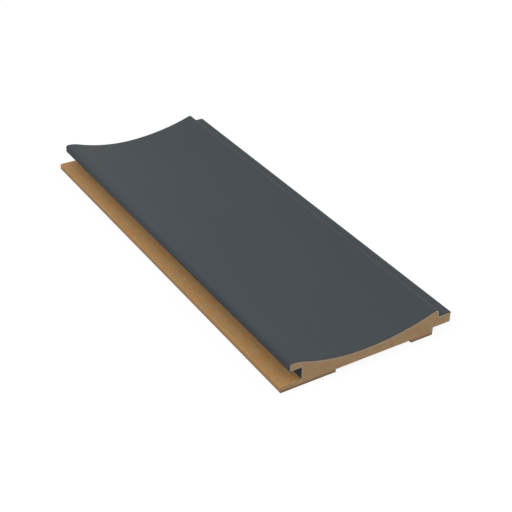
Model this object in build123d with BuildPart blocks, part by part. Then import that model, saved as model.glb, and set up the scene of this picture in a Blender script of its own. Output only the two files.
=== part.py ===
"""Wall cladding panel: a short length of moulded fibreboard with foil wrapped over its face.

Millimetres. X runs across the panel from the fixing flange to the tongue, Y along the
length and Z up from the back to the face. The panel lies on its back, centred on the
origin in X and Y, with its feet on Z = 0.
"""

import os

from build123d import *

# Driving sizes of the finished panel
panel_width = 120.0
panel_length = 300.0
panel_thickness = 18.0
foil_thickness = 0.3

# Fixing flange, and the groove between it and the nose
flange_thickness = 4.2
groove_height = 8.2
groove_depth = 8.0
groove_corner_radius = 0.6
nose_setback = 5.5

# Nose over the groove: a level top, which the face leaves over a broad crest
nose_top_width = 1.5
nose_corner_radius = 1.3
nose_lip_radius = 0.7
nose_crest_radius = 22.0

# Scooped face between the crest and the ridge
scoop_depth = 8.9
scoop_low_from_flange = 57.0
ridge_radius = 2.2

# Tongue beyond the ridge
tongue_reach = 9.2
tongue_thickness = 7.0
tongue_rise = 5.2
tongue_corner_radius = 0.4
tongue_root_radius = 0.8

# Back: two feet with a shallow channel between them
left_foot_width = 37.4
right_foot_width = 15.9
right_foot_setback = 13.0
channel_depth = 2.0

# How far the foil is tucked down the tip of the tongue
tuck_down_tongue = 0.8

# Softened long edges of the bare board
bare_arris_radius = 0.4

# Places across the board, set in by the foil where it is wrapped
left_edge = -panel_width / 2
right_edge = panel_width / 2
nose_x = left_edge + nose_setback + foil_thickness
crest_x = nose_x + nose_top_width
groove_wall_x = left_edge + nose_setback + groove_depth + foil_thickness
scoop_low_x = left_edge + scoop_low_from_flange
ridge_x = right_edge - tongue_reach - foil_thickness
tongue_tip_x = right_edge - foil_thickness
left_foot_x = left_edge + left_foot_width
right_foot_outer_x = right_edge - right_foot_setback
right_foot_inner_x = right_foot_outer_x - right_foot_width

# Heights of the board
board_top_z = panel_thickness - foil_thickness
groove_roof_z = flange_thickness + groove_height + foil_thickness
scoop_low_z = board_top_z - scoop_depth
tongue_top_z = tongue_rise + tongue_thickness - foil_thickness

# The crest and the scoop are two arcs that touch where the line from one to the other's
# middle is shared out by their radii
scoop_run = scoop_low_x - crest_x
both_radii = (scoop_run**2 + scoop_depth**2) / (2 * scoop_depth)
scoop_share = 1 - nose_crest_radius / both_radii
touch_x = scoop_low_x - scoop_run * scoop_share
touch_z = scoop_low_z + scoop_depth * scoop_share

# The section stands at the far end and is drawn out towards the near one
section_plane = Plane.XZ.offset(-panel_length / 2)

with BuildPart() as fibreboard_core:
    with BuildSketch(section_plane) as board_section:
        with BuildLine():
            scoop_low = (scoop_low_x, scoop_low_z)
            crest = (crest_x, board_top_z)
            nose_corner = (nose_x, board_top_z)
            TangentArc(scoop_low, (ridge_x, board_top_z), tangent=(1, 0))
            TangentArc(scoop_low, (touch_x, touch_z), tangent=(-1, 0))
            TangentArc(crest, (touch_x, touch_z), tangent=(1, 0))
            # Nose, groove and flange
            Polyline(
                crest,
                nose_corner,
                (nose_x, groove_roof_z),
                (groove_wall_x, groove_roof_z),
                (groove_wall_x, flange_thickness),
                (left_edge, flange_thickness),
                (left_edge, 0),
            )
            # Back, with the channel between the two feet
            Polyline(
                (left_edge, 0),
                (left_foot_x, 0),
                (left_foot_x, channel_depth),
                (right_foot_inner_x, channel_depth),
                (right_foot_inner_x, 0),
                (right_foot_outer_x, 0),
            )
            # Tongue, and the step up to the ridge
            Polyline(
                (right_foot_outer_x, 0),
                (right_foot_outer_x, tongue_rise),
                (tongue_tip_x, tongue_rise),
                (tongue_tip_x, tongue_top_z),
                (ridge_x, tongue_top_z),
                (ridge_x, board_top_z),
            )
        make_face()
        rounded_corners = [
            (nose_corner, nose_corner_radius),
            ((nose_x, groove_roof_z), nose_lip_radius),
            ((groove_wall_x, groove_roof_z), groove_corner_radius),
            ((groove_wall_x, flange_thickness), groove_corner_radius),
            ((left_edge, flange_thickness), bare_arris_radius),
            ((left_edge, 0), bare_arris_radius),
            ((left_foot_x, 0), bare_arris_radius),
            ((right_foot_inner_x, 0), bare_arris_radius),
            ((right_foot_outer_x, 0), bare_arris_radius),
            ((tongue_tip_x, tongue_rise), bare_arris_radius),
            ((tongue_tip_x, tongue_top_z), tongue_corner_radius),
            ((ridge_x, tongue_top_z), tongue_root_radius),
            ((ridge_x, board_top_z), ridge_radius),
        ]
        for corner, radius in rounded_corners:
            fillet(board_section.vertices().sort_by_distance(corner)[0], radius)
    extrude(amount=panel_length)

# Foil: a skin of even thickness outside the board, kept only where it is wrapped: from the
# foot of the groove's back wall round the nose and over the face to the tip of the tongue.
# The lower limit of the wrapped zone runs through the board, clear of its bare surfaces.
with BuildPart() as face_foil:
    with BuildSketch(section_plane) as foil_section:
        add(board_section.sketch_local)
        offset(amount=foil_thickness)
        add(board_section.sketch_local, mode=Mode.SUBTRACT)
        with BuildLine():
            groove_end_z = flange_thickness + groove_corner_radius
            tongue_end_z = tongue_top_z - tuck_down_tongue
            beyond_tongue_x = right_edge + foil_thickness
            above_face_z = panel_thickness + foil_thickness
            Polyline(
                (left_edge, groove_end_z),
                (left_foot_x, groove_end_z),
                (ridge_x, tongue_end_z),
                (beyond_tongue_x, tongue_end_z),
                (beyond_tongue_x, above_face_z),
                (left_edge, above_face_z),
                close=True,
            )
        make_face(mode=Mode.INTERSECT)
    extrude(amount=panel_length)

fibreboard_core.part.label = "fibreboard_core"
face_foil.part.label = "face_foil"

os.makedirs("parts", exist_ok=True)
export_step(fibreboard_core.part, "parts/fibreboard_core.step")
export_step(face_foil.part, "parts/face_foil.step")
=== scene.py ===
"""Looks of the wall cladding panel: moulded fibreboard under a wrapped matt foil.

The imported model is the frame. The board and the foil are swept again here from the same
sizes, finely enough to shade as smooth surfaces, and are given their finishes. Lengths are
in metres and angles in degrees, unless a name or comment says otherwise. X runs across the
panel, Y along it and Z up from its back to its face.
"""

import logging
import math
from dataclasses import dataclass
from enum import Enum
from typing import Any

import bpy
import numpy as np
from mathutils import Matrix, Vector
from mathutils.geometry import delaunay_2d_cdt

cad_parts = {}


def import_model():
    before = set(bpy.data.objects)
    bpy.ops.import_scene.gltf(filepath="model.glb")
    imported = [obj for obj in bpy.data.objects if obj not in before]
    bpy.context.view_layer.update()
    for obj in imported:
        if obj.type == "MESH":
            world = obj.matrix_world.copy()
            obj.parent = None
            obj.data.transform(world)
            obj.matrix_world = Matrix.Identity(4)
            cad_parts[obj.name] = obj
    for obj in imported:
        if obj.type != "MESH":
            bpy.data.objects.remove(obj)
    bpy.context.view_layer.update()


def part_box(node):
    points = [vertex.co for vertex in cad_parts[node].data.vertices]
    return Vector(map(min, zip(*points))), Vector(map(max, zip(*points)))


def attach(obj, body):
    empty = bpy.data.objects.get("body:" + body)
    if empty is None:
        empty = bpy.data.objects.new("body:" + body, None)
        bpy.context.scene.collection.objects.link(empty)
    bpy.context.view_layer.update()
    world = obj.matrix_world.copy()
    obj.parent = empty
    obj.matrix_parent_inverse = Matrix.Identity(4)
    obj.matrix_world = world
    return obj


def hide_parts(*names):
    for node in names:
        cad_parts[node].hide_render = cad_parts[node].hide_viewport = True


MM = 0.001

# Places closer than this are one point of a path
SAME_PLACE = 0.0001 * MM

# Edges over which the surface turns by more than this stay crisp
CRISP_ANGLE = 28.0

# The triangulation keeps what lies inside the outline and merges places this close, in mm
INSIDE_ONLY = 1
MERGE_WITHIN = 1e-6

# The wave texture turns by this many radians along each unit of its scaled place
WAVE_RATE = 20

# The photograph's width and height, and the width of the camera's sensor in mm
PHOTO_PIXELS = 512
SENSOR_WIDTH = 36.0

Colour = tuple[float, float, float, float]
Socket = bpy.types.NodeSocket
Value = Socket | float | tuple[float, ...]

WHITE: Colour = (1.0, 1.0, 1.0, 1.0)


def linear(red: int, green: int, blue: int) -> Colour:
    """Turn a colour read as 0 to 255 on screen into the scene's linear one.

    A shown value v from 0 to 1 becomes v / 12.92 up to 0.04045, and above that
    ((v + 0.055) / 1.055) to the power 2.4.

    Args:
        red: Red as shown on screen.
        green: Green as shown on screen.
        blue: Blue as shown on screen.

    Returns:
        The linear colour with full alpha.
    """
    shown = np.array([red, green, blue]) / 255
    value = np.where(shown <= 0.04045, shown / 12.92, ((shown + 0.055) / 1.055) ** 2.4)
    return (*value.tolist(), 1.0)


def direction(azimuth: float, elevation: float) -> Vector:
    """Point away from the panel, azimuth 0 out from its near end and 90 out from its tongue.

    Args:
        azimuth: Angle round the upright axis.
        elevation: Angle above the floor.

    Returns:
        The unit vector.
    """
    turn, rise = math.radians(azimuth), math.radians(elevation)
    return Vector(
        (math.sin(turn) * math.cos(rise), -math.cos(turn) * math.cos(rise), math.sin(rise))
    )


def linked(name: str, data: bpy.types.ID) -> bpy.types.Object:
    """Put a mesh, a lamp or a camera into the scene.

    Args:
        name: Name of the object.
        data: Its mesh, lamp or camera.

    Returns:
        The object, at the origin.
    """
    made = bpy.data.objects.new(name, data)
    bpy.context.scene.collection.objects.link(made)
    return made


# Section paths


@dataclass(frozen=True)
class SectionPath:
    """A line drawn across the section, with the outside of the panel on its left."""

    points: np.ndarray
    normals: np.ndarray

    @staticmethod
    def rounded(corners: np.ndarray, closed: bool, steps: int = 14) -> "SectionPath":
        """Draw a path through corners, each rounded by an arc of its own radius.

        At a corner the heading turns by an angle t, from the side that arrives to the one
        that leaves. The arc starts r * tan(|t| / 2) before the corner, its centre is r to
        the turning side of there, and its points are that start swung round the centre by
        even parts of t. A corner without a radius keeps its one point and halfway heading.

        Args:
            corners: Rows of x, z and radius.
            closed: Whether the last corner leads back to the first.
            steps: Points along each arc.

        Returns:
            The path, with its unit normals to the left.
        """
        places, radii = corners[:, :2], corners[:, 2:]
        before, after = np.roll(places, 1, axis=0), np.roll(places, -1, axis=0)
        if not closed:
            before[0] = 2 * places[0] - places[1]
            after[-1] = 2 * places[-1] - places[-2]
        arrive, leave = places - before, after - places
        heading = np.arctan2(arrive[:, 1:], arrive[:, :1])
        turn = np.arctan2(leave[:, 1:], leave[:, :1]) - heading
        turn = (turn + math.pi) % math.tau - math.pi
        share = np.where(radii > 0, np.linspace(0, 1, steps), 0.5)
        ahead = np.hstack([np.cos(heading), np.sin(heading)])
        leftward = np.hstack([-np.sin(heading), np.cos(heading)])
        swing = np.sign(turn) * radii
        centre = places - ahead * (radii * np.tan(np.abs(turn) / 2)) + leftward * swing
        along = heading + turn * share
        normals = np.stack([-np.sin(along), np.cos(along)], -1)
        points = centre[:, None] - normals * swing[..., None]
        points, normals = points.reshape(-1, 2), normals.reshape(-1, 2)
        apart = np.linalg.norm(points - np.roll(points, 1, axis=0), axis=1) > SAME_PLACE
        apart[0] = apart[0] or not closed
        return SectionPath(points[apart], normals[apart])

    def offset(self, distance: float) -> "SectionPath":
        """Move the path outwards along its normals."""
        return SectionPath(self.points + self.normals * distance, self.normals)

    def reversed(self) -> "SectionPath":
        """Run the path the other way, with its outside on the other hand."""
        return SectionPath(self.points[::-1], -self.normals[::-1])

    def then(self, other: "SectionPath") -> "SectionPath":
        """Carry on from this path's end to the other one's start."""
        points = np.vstack([self.points, other.points])
        return SectionPath(points, np.vstack([self.normals, other.normals]))

    def distances(self) -> np.ndarray:
        """Distance of each point from the first, measured along the path."""
        runs = np.linalg.norm(np.diff(self.points, axis=0), axis=1)
        return np.concatenate([[0.0], np.cumsum(runs)])

    def clearance(self, places: np.ndarray) -> np.ndarray:
        """Measure how far places lie from the path.

        A place's nearest point on a stretch from a to b is a + t * (b - a), where t is its
        own share along that stretch, held between 0 and 1. The least distance counts.

        Args:
            places: Rows of x and z.

        Returns:
            The distance of each place.
        """
        start, run = self.points[:-1], np.diff(self.points, axis=0)
        away = places[:, None, :] - start[None]
        share = np.clip((away * run).sum(-1) / (run**2).sum(-1), 0, 1)
        return np.linalg.norm(away - share[..., None] * run, axis=-1).min(axis=1)

    def surrounds(self, places: np.ndarray) -> np.ndarray:
        """Tell which places lie inside the path, taken as closed.

        A place is inside when the level line to its right meets the path an odd number of
        times.

        Args:
            places: Rows of x and z.

        Returns:
            True for each place inside.
        """
        start, end = self.points, np.roll(self.points, -1, axis=0)
        x, z = places[:, :1], places[:, 1:]
        crosses = (start[:, 1] > z) != (end[:, 1] > z)
        level = np.where(start[:, 1] == end[:, 1], 1.0, end[:, 1] - start[:, 1])
        meets = start[:, 0] + (z - start[:, 1]) / level * (end[:, 0] - start[:, 0])
        return (crosses & (meets > x)).sum(axis=1) % 2 == 1


@dataclass(frozen=True)
class PanelSection:
    """Sizes of the panel's section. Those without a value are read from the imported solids."""

    left_edge: float
    tongue_tip_x: float
    nose_x: float
    board_top_z: float
    groove_end_z: float
    foil_thickness: float
    flange_thickness: float = 4.2 * MM
    groove_depth: float = 8.0 * MM
    groove_height: float = 8.2 * MM
    groove_corner_radius: float = 0.6 * MM
    nose_top_width: float = 1.5 * MM
    nose_corner_radius: float = 1.3 * MM
    nose_lip_radius: float = 0.7 * MM
    nose_crest_radius: float = 22.0 * MM
    scoop_depth: float = 8.9 * MM
    scoop_low_from_flange: float = 57.0 * MM
    ridge_radius: float = 2.2 * MM
    straight_to_ridge: float = 4.0 * MM
    tongue_reach: float = 9.2 * MM
    tongue_rise: float = 5.2 * MM
    tongue_thickness: float = 7.0 * MM
    tongue_corner_radius: float = 0.4 * MM
    tongue_root_radius: float = 0.8 * MM
    tuck_down_tongue: float = 0.8 * MM
    left_foot_width: float = 37.4 * MM
    right_foot_width: float = 15.9 * MM
    right_foot_setback: float = 13.0 * MM
    channel_depth: float = 2.0 * MM
    bare_arris_radius: float = 0.4 * MM
    points_over_crest: int = 24
    points_along_scoop: int = 60

    @classmethod
    def from_frame(cls) -> "PanelSection":
        """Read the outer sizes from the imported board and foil.

        Returns:
            The section with those sizes.
        """
        board_low, board_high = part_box("fibreboard_core")
        foil_low, foil_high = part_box("face_foil")
        foil_thickness = foil_high.z - board_high.z
        return cls(
            left_edge=board_low.x,
            tongue_tip_x=board_high.x,
            nose_x=foil_low.x + foil_thickness,
            board_top_z=board_high.z,
            groove_end_z=foil_low.z,
            foil_thickness=foil_thickness,
        )

    @property
    def right_edge(self) -> float:
        """The finished panel's edge at the tongue."""
        return self.tongue_tip_x + self.foil_thickness

    @property
    def groove_roof_z(self) -> float:
        """Height of the bare underside of the nose."""
        return self.flange_thickness + self.groove_height + self.foil_thickness

    @property
    def groove_wall_x(self) -> float:
        """Place of the groove's back wall, under its foil."""
        return self.nose_x + self.groove_depth

    @property
    def scoop_low(self) -> np.ndarray:
        """The x and z of the scoop's lowest line."""
        low_x = self.left_edge + self.scoop_low_from_flange
        return np.array([low_x, self.board_top_z - self.scoop_depth])

    @property
    def ridge_x(self) -> float:
        """Place of the step from the ridge down to the tongue."""
        return self.right_edge - self.tongue_reach - self.foil_thickness

    @property
    def tongue_top_z(self) -> float:
        """Height of the tongue's top, under its foil."""
        return self.tongue_rise + self.tongue_thickness - self.foil_thickness

    def radius_over(self, run: float) -> float:
        """Radius that climbs the scoop's depth over a run: (run^2 + depth^2) / (2 * depth)."""
        return (run**2 + self.scoop_depth**2) / (2 * self.scoop_depth)

    @staticmethod
    def arc_from_level(start: np.ndarray, radius: float, away: np.ndarray) -> np.ndarray:
        """Sample an arc that leaves its start level.

        A point at distance d across from the start stands radius - sqrt(radius^2 - d^2)
        above it, or as much below it where the radius is negative.

        Args:
            start: The arc's x and z where it is level.
            radius: Its radius, negative for an arc that falls away.
            away: Signed distances across from the start.

        Returns:
            Rows of x and z, one for each distance.
        """
        size = abs(radius)
        rise = np.sign(radius) * (size - np.sqrt(size**2 - away**2))
        return start + np.stack([away, rise], -1)

    def nose_and_scoop(self) -> np.ndarray:
        """Sample the face from the nose's corner over the crest to the scoop's low line.

        The nose's top is level up to the crest. The crest and the scoop are two arcs that
        touch, so together they climb as one arc would whose radius is the sum of theirs.
        They meet at the crest radius's share of the run.

        Returns:
            Rows of x and z, the nose's corner first.
        """
        corner = np.array([self.nose_x, self.board_top_z])
        crest = corner + np.array([self.nose_top_width, 0])
        run = self.scoop_low[0] - crest[0]
        both_radii = self.radius_over(run)
        touch = run * self.nose_crest_radius / both_radii
        over_crest = np.linspace(0, touch, self.points_over_crest, endpoint=False)
        along_scoop = np.linspace(touch - run, 0, self.points_along_scoop)
        scoop_radius = both_radii - self.nose_crest_radius
        return np.vstack(
            [
                corner,
                self.arc_from_level(crest, -self.nose_crest_radius, over_crest),
                self.arc_from_level(self.scoop_low, scoop_radius, along_scoop),
            ]
        )

    def scoop_to_ridge(self) -> np.ndarray:
        """Sample the face from the scoop's low line up to the ridge, its last part straight.

        The arc leaves the low line level and climbs the scoop's depth over its run.

        Returns:
            Rows of x and z, the low line left out and the ridge's corner last.
        """
        run = self.ridge_x - self.scoop_low[0]
        curved = np.linspace(0, run - self.straight_to_ridge, self.points_along_scoop)[1:]
        return self.arc_from_level(self.scoop_low, self.radius_over(run), np.append(curved, run))

    def wrapped_corners(self) -> np.ndarray:
        """List the board's corners under the foil, from the groove's foot to the tongue's tip.

        Returns:
            Rows of x, z and radius.
        """
        groove = [
            [self.groove_wall_x, self.groove_end_z, 0],
            [self.groove_wall_x, self.groove_roof_z, self.groove_corner_radius],
            [self.nose_x, self.groove_roof_z, self.nose_lip_radius],
        ]
        tongue = [
            [self.ridge_x, self.tongue_top_z, self.tongue_root_radius],
            [self.tongue_tip_x, self.tongue_top_z, self.tongue_corner_radius],
            [self.tongue_tip_x, self.tongue_top_z - self.tuck_down_tongue, 0],
        ]
        face = np.insert(np.vstack([self.nose_and_scoop(), self.scoop_to_ridge()]), 2, 0.0, axis=1)
        face[0, 2], face[-1, 2] = self.nose_corner_radius, self.ridge_radius
        return np.vstack([groove, face, tongue])

    def bare_corners(self) -> np.ndarray:
        """List the bare corners, from the tongue's underside round the back to the groove.

        Returns:
            Rows of x, z and radius.
        """
        right_foot_outer = self.right_edge - self.right_foot_setback
        right_foot_inner = right_foot_outer - self.right_foot_width
        left_foot_inner = self.left_edge + self.left_foot_width
        arris = self.bare_arris_radius
        return np.array(
            [
                [self.tongue_tip_x, self.tongue_rise, arris],
                [right_foot_outer, self.tongue_rise, 0],
                [right_foot_outer, 0, arris],
                [right_foot_inner, 0, arris],
                [right_foot_inner, self.channel_depth, 0],
                [left_foot_inner, self.channel_depth, 0],
                [left_foot_inner, 0, arris],
                [self.left_edge, 0, arris],
                [self.left_edge, self.flange_thickness, arris],
                [self.groove_wall_x, self.flange_thickness, self.groove_corner_radius],
            ]
        )

    def board_outline(self) -> SectionPath:
        """Close the board's outline out of its wrapped and bare corners."""
        corners = np.vstack([self.wrapped_corners(), self.bare_corners()])
        return SectionPath.rounded(corners, closed=True)

    def wrapped_path(self) -> SectionPath:
        """Draw the board's surface under the foil, from one end of the foil to the other."""
        return SectionPath.rounded(self.wrapped_corners(), closed=False)


# Swept meshes


@dataclass(frozen=True)
class CutFace:
    """The flat face across a section: points within its outline, and triangles over both."""

    inner: np.ndarray
    triangles: np.ndarray

    @classmethod
    def filled(cls, outline: SectionPath, spacing: float) -> "CutFace":
        """Cover a closed outline with triangles over an even grid of points.

        Grid points are kept where they lie inside, over half a spacing from the outline. The
        triangulation keeps all places in the order given, because no two of them meet.

        Args:
            outline: The closed outline.
            spacing: Distance between grid points.

        Returns:
            The face, its triangles turned the outline's way round.
        """
        low, high = outline.points.min(axis=0), outline.points.max(axis=0)
        across, upward = (np.arange(*limits, spacing) for limits in zip(low, high))
        grid = np.stack(np.meshgrid(across, upward), -1).reshape(-1, 2)
        grid = grid[outline.surrounds(grid)]
        grid = grid[outline.clearance(grid) > spacing / 2]
        places = np.vstack([outline.points, grid]) / MM
        ring = list(range(len(outline.points)))
        triangles = np.array(delaunay_2d_cdt(places, [], [ring], INSIDE_ONLY, MERGE_WITHIN)[2])
        a, b, c = (places[triangles[:, corner]] for corner in range(3))
        one, other = b - a, c - a
        turn = one[:, 0] * other[:, 1] - one[:, 1] * other[:, 0]
        return cls(grid, np.where(turn[:, None] > 0, triangles[:, ::-1], triangles))

    @classmethod
    def between(cls, side: int) -> "CutFace":
        """Cover a thin band, whose outline runs out along one side and back along the other.

        Args:
            side: Number of points along each side.

        Returns:
            The face, its triangles turned the outline's way round.
        """
        out = np.arange(side - 1)
        back = 2 * side - 1 - out
        first = np.stack([out, out + 1, back], -1)
        second = np.stack([out + 1, back - 1, back], -1)
        return cls(np.zeros((0, 2)), np.concatenate([first, second]))


@dataclass(frozen=True)
class Sweep:
    """A closed section carried along the panel, with a cut face at each end.

    The stations are the places along Y where a ring of the outline stands, as one row for
    each ring, and the insets say how far each ring is drawn in.
    """

    outline: SectionPath
    cut: CutFace
    stations: np.ndarray
    insets: np.ndarray

    def vertices(self) -> np.ndarray:
        """Place a ring of the outline at each station, then the points within both cuts.

        A ring's point is the outline's point moved in by that station's inset along its
        normal, and its Y is the station's, which may differ from point to point.

        Returns:
            Vertex places: rings in order, the near cut's inner points, the far cut's.
        """
        flat = self.outline.points[None] - self.outline.normals[None] * self.insets[:, None, None]
        stations = np.broadcast_to(self.stations, flat.shape[:2])
        rings = np.stack([flat[..., 0], stations, flat[..., 1]], -1).reshape(-1, 3)
        ends = [np.insert(self.cut.inner, 1, stations[end, 0], axis=1) for end in (0, -1)]
        return np.vstack([rings, *ends])

    def faces(self) -> tuple[np.ndarray, np.ndarray]:
        """List the long sides' quads and the two cuts' triangles, all facing outwards.

        Returns:
            The quads and the triangles as rows of vertex numbers.
        """
        around, rings, inner = len(self.outline.points), len(self.insets), len(self.cut.inner)
        starts = around * np.arange(rings - 1)[:, None]
        here = starts + np.arange(around)
        beyond = starts + (np.arange(around) + 1) % around
        quads = np.stack([here, beyond, beyond + around, here + around], -1).reshape(-1, 4)
        triangles, last = self.cut.triangles, around * (rings - 1)
        near = np.where(triangles < around, triangles, triangles + last)
        far = np.where(triangles < around, triangles + last, triangles + last + inner)
        return quads, np.concatenate([near[:, ::-1], far])

    def build(self, name: str, cut_slot: int = 0) -> bpy.types.Object:
        """Make the mesh object.

        Args:
            name: Name of the piece.
            cut_slot: Material slot of the two cuts, the long sides' being 0.

        Returns:
            The linked object.
        """
        places = self.vertices()
        quads, triangles = self.faces()
        counts = [len(quads), len(triangles)]
        totals = np.repeat([4, 3], counts)
        corners = np.concatenate([quads.ravel(), triangles.ravel()])
        mesh = bpy.data.meshes.new(name)
        mesh.vertices.add(len(places))
        mesh.vertices.foreach_set("co", places.ravel())
        mesh.loops.add(len(corners))
        mesh.loops.foreach_set("vertex_index", corners)
        mesh.polygons.add(len(totals))
        mesh.polygons.foreach_set("loop_start", np.cumsum(totals) - totals)
        mesh.polygons.foreach_set("material_index", np.repeat([0, cut_slot], counts))
        self.lay_map(mesh, places, quads, triangles)
        mesh.update(calc_edges=True)
        mesh.validate()
        mesh.shade_smooth()
        mesh.set_sharp_from_angle(angle=math.radians(CRISP_ANGLE))
        return linked(name, mesh)

    def lay_map(
        self, mesh: bpy.types.Mesh, places: np.ndarray, quads: np.ndarray, triangles: np.ndarray
    ) -> None:
        """Lay the map named wrap.

        Along the sides it holds the distance round the section and the place along the
        panel, and over the cuts the places across and up.

        Args:
            mesh: Mesh to map.
            places: Its vertices.
            quads: Its side faces.
            triangles: Its cut faces.
        """
        around = len(self.outline.points)
        walked = self.outline.distances()
        full_turn = walked[-1] + np.linalg.norm(self.outline.points[0] - self.outline.points[-1])
        round_it = walked[quads % around]
        round_it[around - 1 :: around, 1:3] = full_turn
        sides = np.stack([round_it, places[quads, 1]], -1).reshape(-1, 2)
        cuts = places[triangles][..., [0, 2]].reshape(-1, 2)
        mesh.uv_layers.new(name="wrap").data.foreach_set("uv", np.vstack([sides, cuts]).ravel())

    def mark(self, piece: bpy.types.Object, name: str, path: SectionPath) -> None:
        """Store at each vertex, in metres, how far across the section it is from a path.

        Args:
            piece: The piece built from this sweep.
            name: Name of the attribute.
            path: The path to measure from.
        """
        places = self.vertices()[:, [0, 2]]
        layer = piece.data.attributes.new(name, "FLOAT", "POINT")
        layer.data.foreach_set("value", path.clearance(places))


# Finishes


class Graph:
    """The nodes of a material or of the sky, added and joined by short calls."""

    def __init__(self, owner: bpy.types.Material | bpy.types.World, output_kind: str) -> None:
        """Start with no node but the output.

        Args:
            owner: The material or world that holds the nodes.
            output_kind: Kind of its output node.
        """
        self.owner = owner
        self.owner.use_nodes = True
        self.tree = self.owner.node_tree
        self.tree.nodes.clear()
        self.output = self.node(output_kind)

    @classmethod
    def of_material(cls, name: str) -> "Graph":
        """Start a new material."""
        return cls(bpy.data.materials.new(name), "ShaderNodeOutputMaterial")

    @classmethod
    def of_world(cls, name: str) -> "Graph":
        """Start a new world."""
        return cls(bpy.data.worlds.new(name), "ShaderNodeOutputWorld")

    def node(self, kind: str, **settings: Any) -> bpy.types.Node:
        """Add a node.

        Args:
            kind: Its type in Blender.
            settings: The node's own properties.

        Returns:
            The new node.
        """
        made = self.tree.nodes.new(kind)
        for key, value in settings.items():
            setattr(made, key, value)
        return made

    def join(self, value: Value, socket: Socket) -> None:
        """Link another node's output to a socket, or set the socket to a plain value.

        Args:
            value: The output or the plain value.
            socket: The input that takes it.
        """
        if isinstance(value, Socket):
            self.tree.links.new(value, socket)
        else:
            socket.default_value = value

    def feed(self, node: bpy.types.Node, **inputs: Value) -> bpy.types.Node:
        """Join values to a node's inputs by name, with underscores for spaces.

        Args:
            node: The node to feed.
            inputs: A plain value or another node's output for each input.

        Returns:
            The same node.
        """
        for key, value in inputs.items():
            self.join(value, node.inputs[key.replace("_", " ")])
        return node

    def place(self) -> Socket:
        """Read the place on the piece, in metres."""
        return self.node("ShaderNodeTexCoord").outputs["Object"]

    def wrapped(self) -> Socket:
        """Read the piece's own map: round the section and along the panel, in metres."""
        return self.node("ShaderNodeUVMap", uv_map="wrap").outputs["UV"]

    def stored(self, name: str) -> Socket:
        """Read a distance stored at the piece's vertices."""
        return self.node("ShaderNodeAttribute", attribute_name=name).outputs["Fac"]

    def stretched(self, source: Socket, scale: tuple[float, float, float]) -> Socket:
        """Scale a place along each axis before a pattern reads it."""
        mapping = self.node("ShaderNodeMapping", vector_type="POINT")
        return self.feed(mapping, Vector=source, Scale=scale).outputs["Vector"]

    def noise(
        self, source: Socket, size: float, detail: float = 2.0, roughness: float = 0.5
    ) -> Socket:
        """Make soft noise from 0 to 1.

        Args:
            source: The place it is read at.
            size: Width of its spots, roughly.
            detail: How many finer layers lie on top.
            roughness: Strength of each finer layer against the one before.

        Returns:
            The noise.
        """
        made = self.node("ShaderNodeTexNoise")
        self.feed(made, Vector=source, Scale=1 / size, Detail=detail, Roughness=roughness)
        return made.outputs["Fac"]

    def ramp(
        self, source: Socket, low: float, high: float, start: float = 0.0, end: float = 1.0
    ) -> Socket:
        """Carry a number smoothly from one range to another, held at both ends.

        Args:
            source: The number.
            low: Where the result starts to change.
            high: Where it has changed in full.
            start: The result at low and below.
            end: The result at high and above.

        Returns:
            The result.
        """
        made = self.node("ShaderNodeMapRange", interpolation_type="SMOOTHSTEP", clamp=True)
        self.feed(made, Value=source, From_Min=low, From_Max=high, To_Min=start, To_Max=end)
        return made.outputs["Result"]

    def maths(self, operation: str, first: Value, second: Value) -> Socket:
        """Combine two numbers.

        Args:
            operation: What to do with them, by its name in Blender.
            first: The first number.
            second: The second number.

        Returns:
            The result.
        """
        made = self.node("ShaderNodeMath", operation=operation)
        self.join(first, made.inputs[0])
        self.join(second, made.inputs[1])
        return made.outputs["Value"]

    def mixed(self, share: Socket, base: Value, other: Value) -> Socket:
        """Blend two colours.

        Args:
            share: How much of the other colour is laid over the base.
            base: Colour where the share is 0.
            other: Colour where it is 1.

        Returns:
            The blended colour.
        """
        made = self.node("ShaderNodeMix", data_type="RGBA")
        sockets = {socket.identifier: socket for socket in [*made.inputs, *made.outputs]}
        self.join(share, sockets["Factor_Float"])
        self.join(base, sockets["A_Color"])
        self.join(other, sockets["B_Color"])
        return sockets["Result_Color"]

    def bump(self, height: Socket, depth: float, after: Socket | None = None) -> Socket:
        """Raise the surface by a height times a depth.

        Args:
            height: The height, 0 to 1.
            depth: How far a height of 1 stands out.
            after: An earlier bump that this one lies on.

        Returns:
            The bumped normal.
        """
        made = self.node("ShaderNodeBump")
        self.feed(made, Height=height, Distance=depth, Strength=1.0)
        if after is not None:
            self.feed(made, Normal=after)
        return made.outputs["Normal"]

    def seen_directly(self) -> Socket:
        """Tell what is seen, straight, in gloss or through glass, from what only gives light.

        Returns:
            1 for the first and 0 for the second.
        """
        path = self.node("ShaderNodeLightPath")
        seen = self.maths("MAXIMUM", path.outputs["Is Camera Ray"], path.outputs["Is Glossy Ray"])
        return self.maths("MAXIMUM", seen, path.outputs["Is Transmission Ray"])

    def blended(
        self, share: Socket, base: bpy.types.Node, other: bpy.types.Node
    ) -> bpy.types.Node:
        """Blend two shaders.

        Args:
            share: How much of the other shader there is.
            base: Shader where the share is 0.
            other: Shader where it is 1.

        Returns:
            The blending node.
        """
        made = self.node("ShaderNodeMixShader")
        for value, socket in zip((share, base.outputs[0], other.outputs[0]), made.inputs):
            self.join(value, socket)
        return made

    def finished(self, shader: bpy.types.Node) -> bpy.types.Material | bpy.types.World:
        """Send a shader to the output and hand over the material or world."""
        self.feed(self.output, Surface=shader.outputs[0])
        return self.owner

    def surface(self, **inputs: Value) -> bpy.types.Material:
        """Finish the material with one plain surface shader, given its inputs by name."""
        return self.finished(self.feed(self.node("ShaderNodeBsdfPrincipled"), **inputs))


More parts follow.
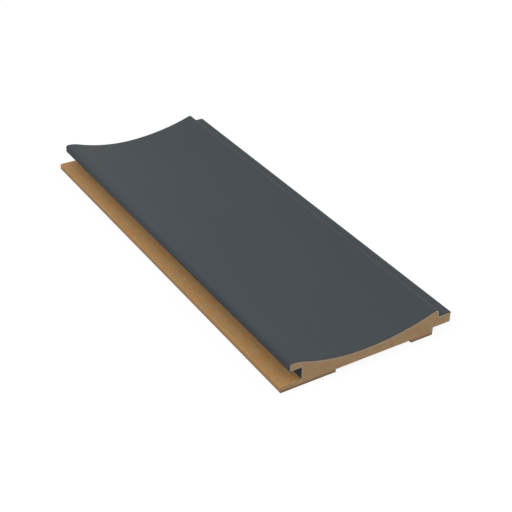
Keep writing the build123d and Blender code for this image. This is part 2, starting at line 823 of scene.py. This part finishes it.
@dataclass(frozen=True)
class FoilFinish:
    """Matt anthracite foil with a fine grain and faint lines from being drawn over rollers.

    The ranges are the parts of a pattern's values over which the colour and the roughness
    change.
    """

    colour: Colour = linear(68, 73, 77)
    deep_colour: Colour = linear(66, 72, 76)
    colour_range: tuple[float, float] = (0.3, 0.7)
    roughness: float = 0.6
    roughness_spread: float = 0.015
    roughness_range: tuple[float, float] = (0.35, 0.65)
    gloss: float = 0.10
    grain_size: float = 0.35 * MM
    grain_depth: float = 0.008 * MM
    line_width: float = 1.4 * MM
    line_stretch: tuple[float, float, float] = (1.0, 0.015, 1.0)
    line_share: float = 0.3
    cloud_size: float = 40 * MM
    cloud_stretch: tuple[float, float, float] = (1.0, 0.3, 1.0)

    def material(self) -> bpy.types.Material:
        """Build the foil's material.

        The lines and the clouds are added by their shares, and their sum shifts the colour
        and the roughness a little.

        Returns:
            The material.
        """
        graph = Graph.of_material("anthracite_foil")
        place = graph.wrapped()
        grain = graph.noise(place, self.grain_size, detail=3.0, roughness=0.6)
        lines = graph.noise(graph.stretched(place, self.line_stretch), self.line_width)
        lines = graph.maths("MULTIPLY", lines, self.line_share)
        drawn_out = graph.stretched(place, self.cloud_stretch)
        clouds = graph.noise(drawn_out, self.cloud_size, detail=3.0)
        clouds = graph.maths("MULTIPLY", clouds, 1 - self.line_share)
        pattern = graph.maths("ADD", lines, clouds)
        roughest = self.roughness + self.roughness_spread
        smoothest = self.roughness - self.roughness_spread
        share = graph.ramp(pattern, *self.colour_range)
        return graph.surface(
            Base_Color=graph.mixed(share, self.colour, self.deep_colour),
            Roughness=graph.ramp(pattern, *self.roughness_range, smoothest, roughest),
            Specular_IOR_Level=self.gloss,
            Normal=graph.bump(grain, self.grain_depth),
        )


class BoardFace(Enum):
    """How a face of the board was cut."""

    MACHINED = "machined_fibreboard"
    SAWN = "sawn_fibreboard"


@dataclass(frozen=True)
class FibreboardFinish:
    """Bare medium density fibreboard on one kind of face.

    The glue shows near the foil, and the colour turns darker next to the back: each is full up
    to the first distance of its range and gone beyond the second. The ranges of the blotches
    and flecks are the parts of their noise over which they appear.
    """

    face: BoardFace
    colour: Colour
    fleck_colour: Colour
    blotch_colour: Colour
    fibre_size: float
    fibre_depth: float
    fibre_stretch: tuple[float, float, float]
    mark_pitch: float
    mark_depth: float
    mark_turn: tuple[float, float, float]
    blotch_size: float
    blotch_range: tuple[float, float] = (0.4, 0.65)
    fleck_range: tuple[float, float] = (0.42, 0.7)
    mark_waver: float = 1.5
    roughness: float = 0.88
    glue_colour: Colour = linear(190, 172, 150)
    glue_range: tuple[float, float] = (0.55 * MM, 1.65 * MM)
    # Darker colour towards the back, over the lowest 1 to 2 mm of height
    back_band_colour: Colour = linear(150, 121, 90)
    back_band_range: tuple[float, float] = (0.96 * MM, 2.24 * MM)

    @classmethod
    def machined(cls) -> "FibreboardFinish":
        """Choose the finish of the long faces, planed by the moulding cutters."""
        return cls(
            face=BoardFace.MACHINED,
            colour=linear(188, 149, 98),
            fleck_colour=linear(167, 125, 77),
            blotch_colour=linear(192, 142, 86),
            fibre_size=0.5 * MM,
            fibre_depth=0.02 * MM,
            fibre_stretch=(1.0, 0.22, 1.0),
            mark_pitch=1.7 * MM,
            mark_depth=0.004 * MM,
            mark_turn=(0.0, 0.0, 90.0),
            blotch_size=7.0 * MM,
        )

    @classmethod
    def sawn(cls) -> "FibreboardFinish":
        """Choose the finish of the two ends, cut across by the saw."""
        return cls(
            face=BoardFace.SAWN,
            colour=linear(198, 166, 125),
            fleck_colour=linear(182, 147, 106),
            blotch_colour=linear(197, 153, 111),
            fibre_size=0.45 * MM,
            fibre_depth=0.03 * MM,
            fibre_stretch=(0.35, 1.0, 1.0),
            mark_pitch=0.7 * MM,
            mark_depth=0.003 * MM,
            mark_turn=(0.0, 8.0, 0.0),
            blotch_size=4.0 * MM,
        )

    def marks(self, graph: Graph, place: Socket) -> Socket:
        """Make the evenly spaced marks that the knives or the saw's teeth leave.

        The wave's bands come round every tau / (rate * scale), so the scale is tau divided
        by rate times pitch.

        Args:
            graph: The material's nodes.
            place: The place on the piece.

        Returns:
            The marks, 0 to 1.
        """
        turned = graph.node("ShaderNodeMapping", vector_type="POINT")
        turn = tuple(math.radians(angle) for angle in self.mark_turn)
        graph.feed(turned, Vector=place, Rotation=turn)
        wave = graph.node("ShaderNodeTexWave", wave_type="BANDS", bands_direction="X")
        scale = math.tau / (WAVE_RATE * self.mark_pitch)
        graph.feed(wave, Vector=turned.outputs["Vector"], Scale=scale)
        graph.feed(wave, Distortion=self.mark_waver, Detail=2.0, Detail_Scale=0.6)
        return wave.outputs["Fac"]

    def material(self) -> bpy.types.Material:
        """Build the fibreboard's material for this face.

        Blotches, flecks, a darker band next to the back and, on a sawn face, the rim of glue
        under the foil are laid over the colour in turn.

        Returns:
            The material.
        """
        graph = Graph.of_material(self.face.value)
        place = graph.place()
        stretched = graph.stretched(place, self.fibre_stretch)
        fibres = graph.noise(stretched, self.fibre_size, detail=4.0, roughness=0.7)
        blotches = graph.noise(place, self.blotch_size, detail=3.0)
        blotches = graph.ramp(blotches, *self.blotch_range)
        colour = graph.mixed(blotches, self.colour, self.blotch_colour)
        colour = graph.mixed(graph.ramp(fibres, *self.fleck_range), colour, self.fleck_colour)
        height = graph.feed(graph.node("ShaderNodeSeparateXYZ"), Vector=place).outputs["Z"]
        # Darker towards the back: full below the range's first height, gone above its second
        back_band = graph.ramp(height, *self.back_band_range, start=1.0, end=0.0)
        colour = graph.mixed(back_band, colour, self.back_band_colour)
        if self.face is BoardFace.SAWN:
            glue = graph.ramp(graph.stored("from_foil"), *self.glue_range, start=1.0, end=0.0)
            colour = graph.mixed(glue, colour, self.glue_colour)
        relief = graph.bump(self.marks(graph, place), self.mark_depth)
        return graph.surface(
            Base_Color=colour,
            Roughness=self.roughness,
            Normal=graph.bump(fibres, self.fibre_depth, after=relief),
        )


# Pieces of the panel


@dataclass(frozen=True)
class FibreboardCore:
    """The moulded board, with crisp sawn ends."""

    section: PanelSection
    near_end: float
    far_end: float
    end_arris: float = 0.12 * MM
    cut_spacing: float = 0.8 * MM

    def build(self) -> bpy.types.Object:
        """Sweep the board, dress it and let it stand for its solid.

        Returns:
            The piece.
        """
        outline = self.section.board_outline()
        inwards = np.array([[0.0], [self.end_arris]])
        stations = np.concatenate([self.near_end + inwards, self.far_end - inwards[::-1]])
        insets = np.array([self.end_arris, 0.0, 0.0, self.end_arris])
        cut = CutFace.filled(outline, self.cut_spacing)
        sweep = Sweep(outline, cut, stations, insets)
        piece = sweep.build("moulded_board", cut_slot=1)
        sweep.mark(piece, "from_foil", self.section.wrapped_path())
        piece.data.materials.append(FibreboardFinish.machined().material())
        piece.data.materials.append(FibreboardFinish.sawn().material())
        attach(piece, "root")
        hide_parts("fibreboard_core")
        return piece


@dataclass(frozen=True)
class FaceFoil:
    """The foil wrapped over the face, from the groove's foot to the tongue's tip.

    Each wave of its frayed cut is given by the radians it turns in a millimetre and the
    radians it starts at.
    """

    section: PanelSection
    near_end: float
    far_end: float
    cut_fray: float = 0.12 * MM
    fray_waves: tuple[tuple[float, float], ...] = ((2.1, 0.0), (5.3, 1.0), (0.7, 2.0))
    fray_reach: float = 1.0 * MM

    def frayed(self, outline: SectionPath) -> np.ndarray:
        """Measure how far the foil's cut stops short of the board's, round the section.

        The setback is the fray times the mean of sine waves of unlike lengths along the
        outline, lifted to run from 0 to 1.

        Args:
            outline: The foil's closed outline.

        Returns:
            The setback at each point.
        """
        rates, starts = np.array(self.fray_waves).T[..., None]
        waves = np.sin(outline.distances() / MM * rates + starts)
        return self.cut_fray * (1 + waves.mean(axis=0)) / 2

    def build(self) -> bpy.types.Object:
        """Sweep the foil, dress it and let it stand for its solid.

        Returns:
            The piece.
        """
        inner = self.section.wrapped_path()
        outline = inner.offset(self.section.foil_thickness).then(inner.reversed())
        setback = self.frayed(outline)
        inwards = np.stack([setback, np.full_like(setback, self.fray_reach)])
        stations = np.concatenate([self.near_end + inwards, self.far_end - inwards[::-1]])
        cut = CutFace.between(len(inner.points))
        piece = Sweep(outline, cut, stations, np.zeros(len(stations))).build("wrapped_foil")
        piece.data.materials.append(FoilFinish().material())
        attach(piece, "root")
        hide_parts("face_foil")
        return piece


# Studio


@dataclass(frozen=True)
class Softbox:
    """A square lamp that faces the panel, its level 1 lighting it as fully as a white sky."""

    name: str
    azimuth: float
    elevation: float
    level: float
    distance: float = 1.5
    size: float = 0.6

    def build(self) -> bpy.types.Object:
        """Hang the lamp.

        A lamp of power P at distance d lights a face turned to it by P / (pi * d)^2, so the
        power is the level times (pi * d)^2.

        Returns:
            The linked lamp.
        """
        towards = direction(self.azimuth, self.elevation)
        lamp = bpy.data.lights.new(self.name, "AREA")
        lamp.shape = "SQUARE"
        lamp.size = self.size
        lamp.energy = self.level * (math.pi * self.distance) ** 2
        made = linked(self.name, lamp)
        made.location = towards * self.distance
        made.rotation_euler = (-towards).to_track_quat("-Z", "Y").to_euler()
        return made


@dataclass(frozen=True)
class Studio:
    """A white floor under soft, even light."""

    floor_size: float = 8.0
    floor_white: Colour = (0.9, 0.9, 0.9, 1.0)
    floor_bounce: Colour = (0.2, 0.2, 0.2, 1.0)
    floor_glow: float = 1.03
    shadow_share: float = 0.12
    sky_strength: float = 0.78
    lamps: tuple[Softbox, ...] = (
        Softbox("left_softbox", azimuth=-90.0, elevation=45.0, level=0.24),
        Softbox("right_softbox", azimuth=90.0, elevation=45.0, level=0.09),
    )

    def floor_material(self) -> bpy.types.Material:
        """Make a floor that looks white, shows the panel's shadow and throws up little light.

        Where it is seen directly it is mostly glow, and the rest is a lit white that the
        shadow darkens. Where it only lights the panel it is a lit grey.

        Returns:
            The material.
        """
        graph = Graph.of_material("white_floor")
        direct = graph.seen_directly()
        colour = graph.mixed(direct, self.floor_bounce, self.floor_white)
        lit = graph.feed(graph.node("ShaderNodeBsdfDiffuse"), Color=colour)
        glow = graph.node("ShaderNodeEmission")
        graph.feed(glow, Color=WHITE, Strength=self.floor_glow)
        share = graph.maths("MULTIPLY", direct, 1 - self.shadow_share)
        return graph.finished(graph.blended(share, lit, glow))

    def build_floor(self) -> bpy.types.Object:
        """Lay the floor that the panel rests on.

        Returns:
            The floor.
        """
        half = self.floor_size / 2
        corners = [(-half, -half, 0), (half, -half, 0), (half, half, 0), (-half, half, 0)]
        mesh = bpy.data.meshes.new("studio_floor")
        mesh.from_pydata(corners, [], [(0, 1, 2, 3)])
        mesh.materials.append(self.floor_material())
        floor = linked("studio_floor", mesh)
        return floor

    def build_sky(self) -> bpy.types.World:
        """Surround the scene with white that lights it more softly than it looks.

        Returns:
            The world.
        """
        graph = Graph.of_world("studio_sky")
        lighting = graph.node("ShaderNodeBackground")
        graph.feed(lighting, Color=WHITE, Strength=self.sky_strength)
        seen = graph.node("ShaderNodeBackground")
        graph.feed(seen, Color=WHITE, Strength=1.0)
        world = graph.finished(graph.blended(graph.seen_directly(), lighting, seen))
        bpy.context.scene.world = world
        return world

    def build(self) -> None:
        """Lay the floor, light the sky and hang the lamps."""
        self.build_floor()
        self.build_sky()
        for lamp in self.lamps:
            lamp.build()
        bpy.context.scene.view_settings.view_transform = "Standard"


@dataclass(frozen=True)
class PhotoCamera:
    """The photograph's camera, found from the panel's edges in it.

    The near bottom corner of the flange is seen at corner_pixel and lies corner_depth in
    front of the lens. Azimuth and elevation say where the camera stands.
    """

    corner: Vector
    azimuth: float = -32.15
    elevation: float = 32.71
    roll: float = 0.98
    focal_pixels: float = 1147.8
    corner_pixel: tuple[float, float] = (280.2, 393.6)
    corner_depth: float = 0.6328
    nearest: float = 0.01
    farthest: float = 50.0

    def build(self) -> bpy.types.Object:
        """Place the camera and make it the scene's own.

        With the lens at the origin, the corner lies at depth times (across, -down, -1) along
        the camera's right, up and back, where across and down are its pixel's distances from
        the middle over the focal length. The eye is the corner less that.

        Returns:
            The camera.
        """
        back = direction(self.azimuth, self.elevation)
        turn, roll = math.radians(self.azimuth), math.radians(self.roll)
        level = Vector((math.cos(turn), math.sin(turn), 0))
        upright = back.cross(level)
        right = level * math.cos(roll) + upright * math.sin(roll)
        up = upright * math.cos(roll) - level * math.sin(roll)
        middle = PHOTO_PIXELS / 2
        across, down = ((pixel - middle) / self.focal_pixels for pixel in self.corner_pixel)
        eye = self.corner + (back - right * across + up * down) * self.corner_depth
        lens = bpy.data.cameras.new("photo_camera")
        lens.sensor_width = SENSOR_WIDTH
        lens.lens = self.focal_pixels / PHOTO_PIXELS * SENSOR_WIDTH
        lens.clip_start, lens.clip_end = self.nearest, self.farthest
        camera = linked("photo_camera", lens)
        axes = Matrix((right, up, back)).transposed().to_4x4()
        camera.matrix_world = Matrix.Translation(eye) @ axes
        bpy.context.scene.camera = camera
        return camera


def main() -> None:
    """Load the frame, build the panel and the studio, and log each piece's face count."""
    logging.basicConfig(level=logging.INFO, format="%(message)s")
    log = logging.getLogger("panel")
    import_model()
    section = PanelSection.from_frame()
    board_low, board_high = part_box("fibreboard_core")
    for part in (
        FibreboardCore(section, board_low.y, board_high.y),
        FaceFoil(section, board_low.y, board_high.y),
    ):
        piece = part.build()
        log.info("%s: %d faces", piece.name, len(piece.data.polygons))
    Studio().build()
    PhotoCamera(corner=Vector((board_low.x, board_low.y, 0))).build()


if __name__ == "__main__":
    main()
